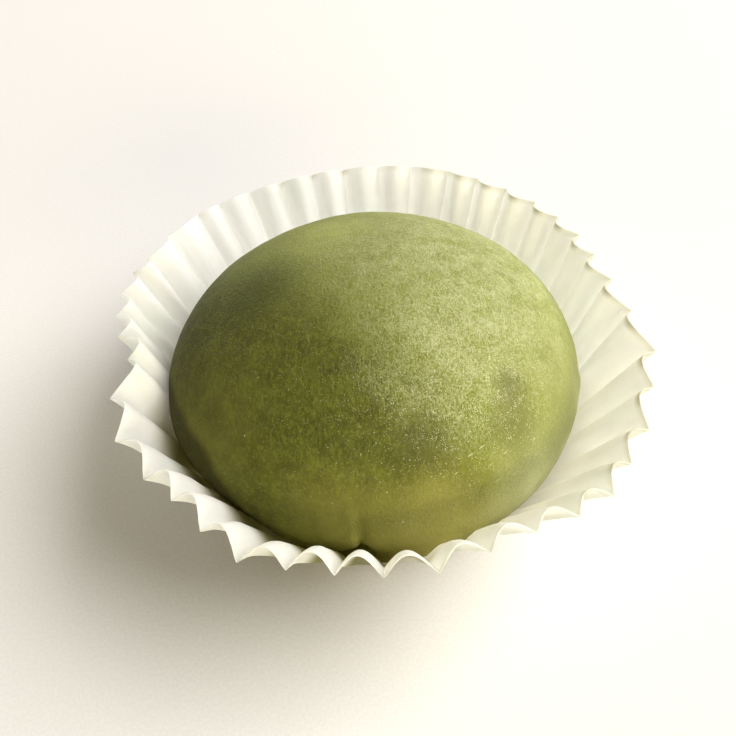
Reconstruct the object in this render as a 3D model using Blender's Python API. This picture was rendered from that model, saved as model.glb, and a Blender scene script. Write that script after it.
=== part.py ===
"""Green rice cake in its fluted paper case.

The case is one disc of paper, pleated up round a flat base, and the rice cake is one solid dome of soft
dough that rests in it. Lengths are in metres. +Z is up, the case stands on z = 0 and its front is -Y.
"""

import math
import random

import bmesh
import bpy
from mathutils import Vector

# The paper disc and the cup that its pleats make.
FLUTES = 42
FIRST_CREASE_BEARING = math.radians(-91.5)
BASE_RADIUS = 0.0195
WALL_LENGTH = 0.0260
PAPER_THICKNESS = 0.0003
CORNER_RADIUS = 0.0020
MEAN_LEAN = math.radians(32.0)
# The wall isn't pressed open evenly: (waves round the rim, size of the swing, bearing of a widest place).
LEAN_SWINGS = (
    (1, math.radians(1.1), math.radians(14.0)),
    (2, math.radians(7.7), math.radians(108.0)),
    (3, math.radians(3.2), math.radians(100.0)),
)
# Short stretches pushed out or in by a thumb: (bearing, half width, change of lean).
LEAN_PRESSES = (
    (math.radians(0.0), math.radians(12.0), math.radians(-3.5)),
    (math.radians(32.0), math.radians(15.0), math.radians(3.0)),
    (math.radians(121.0), math.radians(11.0), math.radians(3.0)),
    (math.radians(140.0), math.radians(9.0), math.radians(-2.0)),
    (math.radians(161.0), math.radians(9.0), math.radians(4.0)),
    (math.radians(189.0), math.radians(7.0), math.radians(-5.0)),
    (math.radians(204.0), math.radians(8.0), math.radians(3.0)),
    (math.radians(229.0), math.radians(5.0), math.radians(-1.5)),
    (math.radians(244.0), math.radians(4.0), math.radians(2.2)),
    (math.radians(293.0), math.radians(7.0), math.radians(-2.0)),
    (math.radians(311.0), math.radians(5.0), math.radians(1.3)),
    (math.radians(344.0), math.radians(5.0), math.radians(1.5)),
)
# The creases crowd together in places and spread in others: (waves, size, bearing of the largest shift).
SPACING_SWINGS = (
    (2, math.radians(1.8), math.radians(71.0)),
    (5, math.radians(1.3), math.radians(7.0)),
)
# Creases pushed round the rim by a finger: (bearing, half width, shift).
SPACING_PRESSES = (
    (math.radians(28.0), math.radians(5.0), math.radians(0.9)),
    (math.radians(48.0), math.radians(10.0), math.radians(0.7)),
    (math.radians(130.0), math.radians(6.0), math.radians(-1.8)),
    (math.radians(148.0), math.radians(5.0), math.radians(1.6)),
    (math.radians(161.0), math.radians(12.0), math.radians(-1.0)),
    (math.radians(204.0), math.radians(8.0), math.radians(-1.3)),
    (math.radians(219.0), math.radians(5.0), math.radians(1.6)),
    (math.radians(256.0), math.radians(8.0), math.radians(1.3)),
    (math.radians(296.0), math.radians(5.0), math.radians(-0.9)),
    (math.radians(344.0), math.radians(15.0), math.radians(1.0)),
)
LEAN_JITTER = math.radians(0.7)
BEARING_JITTER = math.radians(0.5)
JITTER_SEED = 7331
POINTS_PER_FLUTE = 4
WALL_ROWS = 6
CORNER_ROWS = 2

# The rice cake: two half ellipsoids that meet at its girth, the lower one cut off flat at the foot.
CAKE_CENTRE = Vector((0.0004, -0.0022))
CAKE_RADIUS_X = 0.0249
CAKE_RADIUS_Y = 0.0251
CAKE_GIRTH_Z = 0.0157
CAKE_TOP_Z = 0.0311
CAKE_LOWER_DEPTH = 0.0168
REST_GAP = 0.0003
SIDE_GAP = 0.0006
CAKE_FOOT_Z = PAPER_THICKNESS + REST_GAP
# Soft lumps in the dome's outline: (waves round, share of the radius, bearing of a bulge).
CAKE_LUMPS = (
    (2, 0.006, math.radians(20.0)),
    (3, 0.005, math.radians(75.0)),
    (5, 0.004, math.radians(-5.0)),
)
# The dough is pinched shut under the dome, and the end of that fold shows low at the front.
PINCH_BEARING = math.radians(263.5)
PINCH_DEPTH = 0.0020
PINCH_HALF_WIDTH = math.radians(4.5)
PINCH_TOP_Z = 0.0205
CAKE_COLUMNS = 76
CAKE_DOME_ROWS = 13
CAKE_LOWER_ROWS = 7

PAPER_COLOUR = (0.90, 0.89, 0.80, 1.0)
DOUGH_COLOUR = (0.30, 0.32, 0.08, 1.0)


def clear_scene() -> None:
    """Remove the objects that are already in the scene."""
    for old in list(bpy.data.objects):
        bpy.data.objects.remove(old, do_unlink=True)


def swing(waves: int, size: float, bearing_of_widest: float, bearing: float) -> float:
    """Return a slow wave round the rim, largest at bearing_of_widest."""
    return size * math.cos(waves * (bearing - bearing_of_widest))


def press(middle: float, half_width: float, size: float, bearing: float) -> float:
    """Return what one press of a finger adds at a bearing, most at its middle."""
    off_middle = math.remainder(bearing - middle, 2.0 * math.pi) / half_width
    return size * math.exp(-(off_middle**2))


def wall_lean(bearing: float) -> float:
    """Return how far the wall leans out from upright at a bearing, before any jitter."""
    swings = sum(swing(*wave, bearing) for wave in LEAN_SWINGS)
    presses = sum(press(*one, bearing) for one in LEAN_PRESSES)
    return MEAN_LEAN + swings + presses


def crease_bearings_and_leans() -> list[tuple[float, float]]:
    """Return each outer crease's bearing and lean, uneven as hand-opened paper is."""
    rng = random.Random(JITTER_SEED)
    creases = []
    for flute in range(FLUTES):
        even = FIRST_CREASE_BEARING + 2.0 * math.pi * flute / FLUTES
        shifted = even + sum(swing(*wave, even) for wave in SPACING_SWINGS)
        shifted += sum(press(*one, shifted) for one in SPACING_PRESSES)
        bearing = shifted + rng.uniform(-BEARING_JITTER, BEARING_JITTER)
        lean = wall_lean(bearing) + rng.uniform(-LEAN_JITTER, LEAN_JITTER)
        creases.append((bearing, lean))
    return creases


def pleat_depth(along: float, lean: float) -> float:
    """Return how deep a pleat is at a distance up the wall.

    The flat disc has more paper round a ring than the cup has room for, and each pleat takes up its
    share of the rest: half a pleat is the long side of a triangle on half of its room.
    """
    half_paper = math.pi * (BASE_RADIUS + along) / FLUTES
    half_room = math.pi * (BASE_RADIUS + along * math.sin(lean)) / FLUTES
    return math.sqrt(max(0.0, half_paper**2 - half_room**2))


def wall_profile(lean: float) -> list[tuple[float, float, float]]:
    """Return a crease's points as radius, height and distance up the wall, base edge first.

    A round corner turns the flat base up into the straight, leaning wall.
    """
    turn = math.pi / 2.0 - lean
    flat_radius = BASE_RADIUS - CORNER_RADIUS * math.tan(turn / 2.0)
    points = []
    for row in range(CORNER_ROWS + 1):
        angle = turn * row / CORNER_ROWS
        radius = flat_radius + CORNER_RADIUS * math.sin(angle)
        height = CORNER_RADIUS * (1.0 - math.cos(angle))
        points.append((radius, height, max(0.0, radius - BASE_RADIUS)))
    corner_radius, corner_height, _ = points[-1]
    corner_along = CORNER_RADIUS * math.tan(turn / 2.0)
    for row in range(1, WALL_ROWS + 1):
        along = (WALL_LENGTH - corner_along) * row / WALL_ROWS
        radius = corner_radius + along * math.sin(lean)
        height = corner_height + along * math.cos(lean)
        points.append((radius, height, corner_along + along))
    return points


def hold_off_cake(point: Vector) -> Vector:
    """Push a point of the paper straight out where the rice cake's side would bulge through it."""
    from_cake = point.xy - CAKE_CENTRE
    bearing = math.atan2(from_cake.y, from_cake.x)
    nearest = cake_radius(bearing, point.z) + PAPER_THICKNESS + SIDE_GAP
    if from_cake.length >= nearest:
        return point
    pushed = CAKE_CENTRE + from_cake.normalized() * nearest
    return Vector((pushed.x, pushed.y, point.z))


def wall_columns() -> list[list[Vector]]:
    """Return every upright line of points round the pleated wall, from the base's edge to the rim."""
    creases = crease_bearings_and_leans()
    columns = []
    for flute, (bearing, lean) in enumerate(creases):
        next_bearing, next_lean = creases[(flute + 1) % FLUTES]
        if flute == FLUTES - 1:
            next_bearing += 2.0 * math.pi
        for step in range(POINTS_PER_FLUTE):
            phase = step / POINTS_PER_FLUTE
            here = bearing + (next_bearing - bearing) * phase
            leaning = lean + (next_lean - lean) * phase
            column = []
            for radius, height, along in wall_profile(leaning):
                depth = pleat_depth(along, leaning) * math.sin(math.pi * phase)
                inward = radius - depth * math.cos(leaning)
                raised = height + depth * math.sin(leaning)
                point = Vector((inward * math.cos(here), inward * math.sin(here), raised))
                column.append(hold_off_cake(point))
            columns.append(column)
    return columns


def rim_middle(columns: list[list[Vector]]) -> Vector:
    """Return the middle of the rim's bounding box, which becomes the origin."""
    xs = [column[-1].x for column in columns]
    ys = [column[-1].y for column in columns]
    return Vector(((min(xs) + max(xs)) / 2.0, (min(ys) + max(ys)) / 2.0, 0.0))


def make_material(name: str, colour: tuple, roughness: float) -> bpy.types.Material:
    """Return a plain Principled material."""
    material = bpy.data.materials.new(name)
    material.use_nodes = True
    shader = material.node_tree.nodes["Principled BSDF"]
    shader.inputs["Base Color"].default_value = colour
    shader.inputs["Roughness"].default_value = roughness
    shader.inputs["Metallic"].default_value = 0.0
    return material


def add_object(name: str, form: bmesh.types.BMesh, material: bpy.types.Material) -> bpy.types.Object:
    """Turn a bmesh into a named object with one material, faces pointing out."""
    bmesh.ops.recalc_face_normals(form, faces=form.faces[:])
    mesh = bpy.data.meshes.new(name)
    form.to_mesh(mesh)
    form.free()
    mesh.materials.append(material)
    piece = bpy.data.objects.new(name, mesh)
    bpy.context.scene.collection.objects.link(piece)
    return piece


def skin_columns(form: bmesh.types.BMesh, columns: list[list[bmesh.types.BMVert]]) -> None:
    """Join neighbouring columns of vertices with a closed ring of four-sided faces."""
    for left, right in zip(columns, columns[1:] + columns[:1]):
        for low in range(len(left) - 1):
            form.faces.new((left[low], right[low], right[low + 1], left[low + 1]))


def build_paper_case(columns: list[list[Vector]], origin: Vector) -> bpy.types.Object:
    """Build the pleated case as one closed sheet of even thickness."""
    form = bmesh.new()
    outer = [[form.verts.new(point - origin) for point in column] for column in columns]
    skin_columns(form, outer)
    form.faces.new([column[0] for column in reversed(outer)])
    material = make_material("paper", PAPER_COLOUR, 0.75)
    case = add_object("paper_case", form, material)
    thickness = case.modifiers.new("paper thickness", "SOLIDIFY")
    thickness.thickness = PAPER_THICKNESS
    thickness.offset = -1.0
    thickness.use_even_offset = True
    thickness.use_rim = True
    return case


def cake_radius_share(height: float) -> float:
    """Return the dome's radius at a height, as a share of its widest radius."""
    half_height = CAKE_TOP_Z - CAKE_GIRTH_Z if height >= CAKE_GIRTH_Z else CAKE_LOWER_DEPTH
    offset = (height - CAKE_GIRTH_Z) / half_height
    return math.sqrt(max(0.0, 1.0 - offset**2))


def pinch_depth(bearing: float, height: float) -> float:
    """Return how far the pinched fold draws the dough in."""
    if height >= PINCH_TOP_Z:
        return 0.0
    off_line = math.remainder(bearing - PINCH_BEARING, 2.0 * math.pi) / PINCH_HALF_WIDTH
    return PINCH_DEPTH * math.exp(-(off_line**2)) * (1.0 - height / PINCH_TOP_Z)


def cake_radius(bearing: float, height: float) -> float:
    """Return the dome's radius at a bearing and a height, lumps included."""
    share = cake_radius_share(height)
    lumps = 1.0 + sum(swing(*lump, bearing) for lump in CAKE_LUMPS) * share
    round_radius = math.hypot(CAKE_RADIUS_X * math.cos(bearing), CAKE_RADIUS_Y * math.sin(bearing))
    return round_radius * share * lumps


def cake_point(bearing: float, height: float) -> Vector:
    """Return the point on the rice cake's skin at a bearing and a height."""
    radius = cake_radius(bearing, height) - pinch_depth(bearing, height)
    x = CAKE_CENTRE.x + radius * math.cos(bearing)
    y = CAKE_CENTRE.y + radius * math.sin(bearing)
    return Vector((x, y, height))


def cake_heights() -> list[float]:
    """Return the heights of the rings from the foot to just under the top, spaced evenly by angle."""
    foot_drop = (CAKE_GIRTH_Z - CAKE_FOOT_Z) / CAKE_LOWER_DEPTH
    foot_angle = math.asin(min(1.0, foot_drop))
    heights = []
    for row in range(CAKE_LOWER_ROWS):
        angle = foot_angle * (1.0 - row / CAKE_LOWER_ROWS)
        heights.append(CAKE_GIRTH_Z - CAKE_LOWER_DEPTH * math.sin(angle))
    for row in range(CAKE_DOME_ROWS):
        angle = math.pi / 2.0 * row / CAKE_DOME_ROWS
        heights.append(CAKE_GIRTH_Z + (CAKE_TOP_Z - CAKE_GIRTH_Z) * math.sin(angle))
    return heights


def build_rice_cake(origin: Vector) -> bpy.types.Object:
    """Build the solid dome of dough with its flat foot."""
    form = bmesh.new()
    columns = []
    for column in range(CAKE_COLUMNS):
        bearing = 2.0 * math.pi * column / CAKE_COLUMNS
        points = [cake_point(bearing, height) - origin for height in cake_heights()]
        columns.append([form.verts.new(point) for point in points])
    skin_columns(form, columns)
    form.faces.new([column[0] for column in reversed(columns)])
    top = form.verts.new(cake_point(0.0, CAKE_TOP_Z) - origin)
    for left, right in zip(columns, columns[1:] + columns[:1]):
        form.faces.new((left[-1], right[-1], top))
    cake = add_object("mochi", form, make_material("dough", DOUGH_COLOUR, 0.45))
    cake.data.shade_smooth()
    cake.data.set_sharp_from_angle(angle=math.radians(50.0))
    return cake


def main() -> None:
    """Build the paper case and the rice cake about the middle of the case's rim."""
    clear_scene()
    columns = wall_columns()
    origin = rim_middle(columns)
    build_paper_case(columns, origin)
    build_rice_cake(origin)


main()
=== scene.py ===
"""Looks for a green rice cake in its fluted paper case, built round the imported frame.

The frame gives the place and size of each piece. This script models the soft dome of dough, the starch
that dusts it and the pleated paper case it sits in, dresses each in its own finish, and sets them on a
pale floor under a window's soft light. Lengths are in metres, +Z is up and the front is -Y.
"""

import logging
import math
import random
from collections.abc import Callable, Iterator
from contextlib import contextmanager
from dataclasses import dataclass, fields
from enum import Enum
from functools import cache

import bmesh
import bpy
import numpy as np
from mathutils import Matrix, Vector, noise
from mathutils.bvhtree import BVHTree


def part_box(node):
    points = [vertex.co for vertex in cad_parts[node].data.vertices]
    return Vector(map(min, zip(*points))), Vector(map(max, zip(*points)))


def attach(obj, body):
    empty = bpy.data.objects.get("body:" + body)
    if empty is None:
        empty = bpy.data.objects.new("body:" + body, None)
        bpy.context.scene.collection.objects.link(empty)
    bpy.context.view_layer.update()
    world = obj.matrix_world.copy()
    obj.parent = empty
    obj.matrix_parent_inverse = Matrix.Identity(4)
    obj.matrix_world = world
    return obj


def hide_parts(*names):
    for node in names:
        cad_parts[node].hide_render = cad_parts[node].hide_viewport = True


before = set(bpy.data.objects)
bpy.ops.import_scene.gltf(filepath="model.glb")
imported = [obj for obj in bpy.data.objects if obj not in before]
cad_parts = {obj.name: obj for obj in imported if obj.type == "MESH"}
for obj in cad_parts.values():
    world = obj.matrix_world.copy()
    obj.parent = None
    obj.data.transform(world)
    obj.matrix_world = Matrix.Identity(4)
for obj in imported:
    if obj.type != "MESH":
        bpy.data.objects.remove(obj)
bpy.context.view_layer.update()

MM = 0.001
# Less than this apart, two points lie level.
HAIR = 0.01 * MM
BODY = "root"
log = logging.getLogger("rice cake")


class Note(Enum):
    """A number noted on each point of a piece, for its finish to read."""

    UP_THE_WALL = "up_the_wall"
    INTO_THE_FOLD = "into_the_fold"
    NEAR_THE_DOUGH = "near_the_dough"

    def write(self, piece: bpy.types.Object, values: np.ndarray) -> None:
        """Write the note on a piece, one number for each of its points."""
        layer = piece.data.attributes.new(self.value, "FLOAT", "POINT")
        layer.data.foreach_set("value", values)


@cache
def node_box(node: str) -> tuple[Vector, Vector]:
    """Return the low and high corners of one of the frame's nodes."""
    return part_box(node)


# --------------------------------------------------------------------------------------------------
# Shaping: choosing points and moving them in edit mode
# --------------------------------------------------------------------------------------------------


def pick_only(piece: bpy.types.Object) -> None:
    """Deselect everything, then select one piece and make it active.

    Args:
        piece: the object to work on next.
    """
    for other in bpy.context.selected_objects:
        other.select_set(False)
    piece.select_set(True)
    bpy.context.view_layer.objects.active = piece


@contextmanager
def editing(piece: bpy.types.Object) -> Iterator[None]:
    """Open a piece in edit mode with nothing chosen, and close it afterwards.

    Args:
        piece: the mesh object to shape.
    """
    pick_only(piece)
    bpy.ops.object.mode_set(mode="EDIT")
    bpy.ops.mesh.select_mode(type="VERT")
    bpy.ops.mesh.select_all(action="DESELECT")
    yield
    bpy.ops.object.mode_set(mode="OBJECT")


def choose(piece: bpy.types.Object, wanted: Callable[[bmesh.types.BMVert], bool]) -> int:
    """Choose the points of a piece in edit mode that pass a test.

    Args:
        piece: the piece being edited.
        wanted: says whether a point is chosen.

    Returns:
        How many points are chosen.
    """
    form = bmesh.from_edit_mesh(piece.data)
    chosen = 0
    for point in form.verts:
        point.select = wanted(point)
        chosen += point.select
    form.select_flush_mode()
    bmesh.update_edit_mesh(piece.data)
    return chosen


def choose_numbers(piece: bpy.types.Object, numbers: list[int]) -> None:
    """Choose points of a piece in edit mode by their numbers.

    Args:
        piece: the piece being edited.
        numbers: the points' places in the mesh.
    """
    form = bmesh.from_edit_mesh(piece.data)
    form.verts.ensure_lookup_table()
    for point in form.verts:
        point.select = False
    for number in numbers:
        form.verts[number].select = True
    form.select_flush_mode()


def turn_chosen(angle: float, axis: str, about: Vector) -> None:
    """Turn the chosen points by the right-hand rule about a line along X, Y or Z through a point."""
    bpy.ops.transform.rotate(value=-angle, orient_axis=axis, center_override=about)


def apply_modifier(piece: bpy.types.Object, name: str, kind: str, **settings: object) -> None:
    """Add a modifier to a piece, set it up and apply it.

    Args:
        piece: the piece that the modifier changes.
        name: the modifier's name.
        kind: Blender's type of modifier.
        **settings: the modifier's own properties.
    """
    pick_only(piece)
    modifier = piece.modifiers.new(name, kind)
    for setting, value in settings.items():
        setattr(modifier, setting, value)
    bpy.ops.object.modifier_apply(modifier=modifier.name)


def ruffle(
    piece: bpy.types.Object, name: str, size: float, layers: int, depth: float, group: str = ""
) -> None:
    """Push a piece's surface in and out by a cloudy pattern.

    Args:
        piece: the piece to ruffle.
        name: a name for what this makes.
        size: how wide the clouds are.
        layers: how many finer layers they have.
        depth: how far apart the lowest and highest places end up.
        group: the vertex group that says where it works, or nothing for everywhere.
    """
    texture = bpy.data.textures.new(name, "CLOUDS")
    texture.noise_scale = size
    texture.noise_depth = layers
    apply_modifier(
        piece,
        name,
        "DISPLACE",
        texture=texture,
        texture_coords="LOCAL",
        strength=depth,
        mid_level=0.5,
        vertex_group=group,
    )


def count_triangles(piece: bpy.types.Object) -> int:
    """Return how many triangles a piece's mesh makes."""
    piece.data.calc_loop_triangles()
    return len(piece.data.loop_triangles)


# --------------------------------------------------------------------------------------------------
# Small forms shared by the pieces
# --------------------------------------------------------------------------------------------------


@dataclass(frozen=True)
class Swing:
    """A slow wave of some quantity round the case's rim."""

    waves: int
    size: float
    widest: float

    def at(self, bearing: float) -> float:
        """Return the wave's value at a bearing."""
        return self.size * math.cos(self.waves * (bearing - self.widest))


@dataclass(frozen=True)
class Press:
    """A short stretch of the case's rim moved by a finger, most at its middle."""

    middle: float
    half_width: float
    size: float

    def at(self, bearing: float) -> float:
        """Return how much the press moves at a bearing."""
        off_middle = math.remainder(bearing - self.middle, 2.0 * math.pi) / self.half_width
        return self.size * math.exp(-(off_middle**2))


def presses(*degrees: tuple[float, float, float]) -> tuple[Press, ...]:
    """Return presses given as middle, half width and size, all in degrees."""
    return tuple(Press(*(math.radians(angle) for angle in one)) for one in degrees)


def swings(*degrees: tuple[int, float, float]) -> tuple[Swing, ...]:
    """Return swings given as waves, size and widest bearing, the last two in degrees."""
    return tuple(Swing(waves, math.radians(size), math.radians(widest)) for waves, size, widest in degrees)


@dataclass(frozen=True)
class Crease:
    """A soft line pressed into the dough, or drawn out of it where the depth is below nothing.

    Each point of the path is a bearing in degrees, a height in millimetres and a share of the depth.
    """

    name: str
    path: tuple[tuple[float, float, float], ...]
    depth: float
    half_width: float
    steps: int = 12

    def points(self) -> list[tuple[float, float, float]]:
        """Fill the path in finely.

        Returns:
            Each place's bearing in radians, height in metres and share of the depth.
        """
        filled = []
        for start, end in zip(self.path, self.path[1:] or self.path):
            for step in range(self.steps + 1):
                bearing, height, share = (
                    first + (second - first) * step / self.steps for first, second in zip(start, end)
                )
                filled.append((math.radians(bearing), height * MM, share))
        return filled


# --------------------------------------------------------------------------------------------------
# The rice cake
# --------------------------------------------------------------------------------------------------


@dataclass
class RiceCake:
    """The soft solid dome of rice dough."""

    node: str = "mochi"
    girth_z: float = 15.7 * MM
    lower_depth: float = 16.8 * MM
    skin_room: float = 0.12 * MM
    cuts: int = 47
    lump_size: float = 17.0 * MM
    lump_depth: float = 0.45 * MM
    dimple_size: float = 4.0 * MM
    dimple_depth: float = 0.10 * MM
    faintest_press: float = 0.003
    broad_creases: tuple[Crease, ...] = (
        Crease(
            "flank drawn in",
            ((168.0, 7.0, 0.2), (188.0, 8.0, 0.8), (215.0, 9.0, 1.0), (229.0, 9.0, 0.9), (241.0, 8.0, 0.1)),
            2.8 * MM,
            5.2 * MM,
        ),
        Crease(
            "full shoulder",
            ((0.0, 25.0, 1.0), (180.0, 25.0, 1.0), (360.0, 25.0, 1.0)),
            -0.42 * MM,
            5.5 * MM,
            24,
        ),
        Crease("full low on the right", ((-22.0, 14.0, 1.0), (-42.0, 12.4, 0.8)), -0.25 * MM, 4.5 * MM),
        Crease(
            "shoulder", ((196.0, 20.0, 0.6), (215.0, 19.6, 1.0), (236.0, 18.4, 0.8)), -0.35 * MM, 3.0 * MM
        ),
    )
    fine_creases: tuple[Crease, ...] = (
        Crease(
            "fold under the shoulder",
            (
                (186.0, 18.6, 0.2),
                (199.0, 17.6, 0.7),
                (210.0, 16.4, 1.0),
                (220.0, 15.6, 1.0),
                (229.0, 15.4, 0.9),
                (236.0, 14.4, 0.5),
            ),
            0.40 * MM,
            0.9 * MM,
        ),
        Crease(
            "end of the pinched fold",
            ((263.6, 21.0, 0.05), (263.4, 19.5, 0.3), (263.3, 17.5, 0.6), (263.1, 14.6, 1.0)),
            0.80 * MM,
            0.50 * MM,
        ),
        Crease("left lip of the fold", ((256.5, 15.9, 0.5), (261.2, 16.3, 1.0)), -0.40 * MM, 1.3 * MM),
        Crease(
            "hollow under the fold",
            ((255.5, 12.0, 0.4), (260.0, 12.5, 0.9), (262.9, 13.2, 1.0), (264.2, 12.6, 0.4)),
            2.1 * MM,
            1.10 * MM,
        ),
        Crease("nub at the right", ((-15.0, 17.6, 1.0), (-16.0, 17.5, 1.0)), -0.24 * MM, 1.0 * MM),
    )

    def build(self) -> bpy.types.Object:
        """Model the dome.

        Returns:
            The rice cake.
        """
        cake = self._round_ball()
        self._settle(cake)
        ruffle(cake, "kneaded lumps", self.lump_size, 1, self.lump_depth)
        for crease in self.broad_creases:
            self._press_crease(cake, crease)
        apply_modifier(cake, "finer skin", "SUBSURF", levels=1, render_levels=1)
        for crease in self.fine_creases:
            self._press_crease(cake, crease)
        ruffle(cake, "skin dimples", self.dimple_size, 2, self.dimple_depth)
        self._level_foot(cake)
        cake.data.shade_smooth()
        return cake

    def _middle(self) -> Vector:
        """Return the middle of the dome at its girth."""
        low, high = node_box(self.node)
        return Vector(((low.x + high.x) / 2.0, (low.y + high.y) / 2.0, self.girth_z))

    def _round_ball(self) -> bpy.types.Object:
        """Start from a cube, cut it up finely and round it into a ball of even squares.

        Returns:
            The ball of dough.
        """
        bpy.ops.mesh.primitive_cube_add(size=2.0, location=(0.0, 0.0, 0.0))
        cake = bpy.context.object
        cake.name = "rice_cake"
        low, high = node_box(self.node)
        half = (high - low) / 2.0
        with editing(cake):
            bpy.ops.mesh.select_all(action="SELECT")
            bpy.ops.mesh.subdivide(number_cuts=self.cuts)
            bpy.ops.transform.tosphere(value=1.0)
            radius = next(iter(bmesh.from_edit_mesh(cake.data).verts)).co.length
            dome_height = high.z - self.girth_z - self.skin_room
            bpy.ops.transform.resize(
                value=(
                    (half.x - self.skin_room) / radius,
                    (half.y - self.skin_room) / radius,
                    dome_height / radius,
                ),
                center_override=(0.0, 0.0, 0.0),
            )
            bpy.ops.transform.translate(value=self._middle())
        return cake

    def _settle(self, cake: bpy.types.Object) -> None:
        """Let the lower half sag to its own depth, then press its foot flat.

        Args:
            cake: the ball of dough.
        """
        low, high = node_box(self.node)
        dome_height = high.z - self.girth_z - self.skin_room
        middle = self._middle()
        with editing(cake):
            choose(cake, lambda point: point.co.z < self.girth_z - HAIR)
            bpy.ops.transform.resize(
                value=(1.0, 1.0, self.lower_depth / dome_height), center_override=middle
            )
        self._level_foot(cake)

    def _level_foot(self, cake: bpy.types.Object) -> None:
        """Flatten whatever hangs below the foot's own level.

        Args:
            cake: the dome of dough.
        """
        foot_z = node_box(self.node)[0].z
        middle = self._middle()
        with editing(cake):
            choose(cake, lambda point: point.co.z < foot_z)
            bpy.ops.transform.resize(
                value=(1.0, 1.0, 0.0), center_override=(middle.x, middle.y, foot_z)
            )

    def _skin_at(self, bearing: float, height: float) -> Vector:
        """Find the place on the plain dome at a bearing and height.

        Args:
            bearing: the way out from the middle, in radians from +X.
            height: the height above the floor.

        Returns:
            The place on its skin.
        """
        low, high = node_box(self.node)
        middle = self._middle()
        reach = self.lower_depth if height < self.girth_z else high.z - self.girth_z
        narrow = math.sqrt(max(0.0, 1.0 - ((height - self.girth_z) / reach) ** 2))
        half = (high - low) / 2.0
        out = Vector((math.cos(bearing) * half.x * narrow, math.sin(bearing) * half.y * narrow, 0.0))
        return Vector((middle.x, middle.y, height)) + out

    def _press_crease(self, cake: bpy.types.Object, crease: Crease) -> None:
        """Press one crease into the skin, fading out to both sides of its path.

        Args:
            cake: the dome of dough.
            crease: the path and how far to press.
        """
        skin = np.empty(len(cake.data.vertices) * 3)
        cake.data.vertices.foreach_get("co", skin)
        skin = skin.reshape(-1, 3)
        weights = np.zeros(len(skin))
        for bearing, height, share in crease.points():
            away = np.linalg.norm(skin - np.array(self._skin_at(bearing, height)), axis=1)
            weights = np.maximum(weights, share * np.exp(-((away / crease.half_width) ** 2)))
        group = cake.vertex_groups.new(name=crease.name)
        for number in np.nonzero(weights > self.faintest_press)[0]:
            group.add([int(number)], float(weights[number]), "REPLACE")
        apply_modifier(
            cake,
            crease.name,
            "DISPLACE",
            direction="NORMAL",
            strength=-crease.depth,
            mid_level=0.0,
            vertex_group=crease.name,
        )
        cake.vertex_groups.remove(cake.vertex_groups[crease.name])


# --------------------------------------------------------------------------------------------------
# The starch
# --------------------------------------------------------------------------------------------------


@dataclass(frozen=True)
class Fleck:
    """A crumb or thread of starch that lies in one set place: its half length and half width."""

    place: Vector
    length: float
    width: float


def flecks(length: float, width: float, *places: tuple[float, float, float]) -> tuple[Fleck, ...]:
    """Return flecks of one size at places given in millimetres."""
    return tuple(Fleck(Vector(place) * MM, length, width) for place in places)


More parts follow.
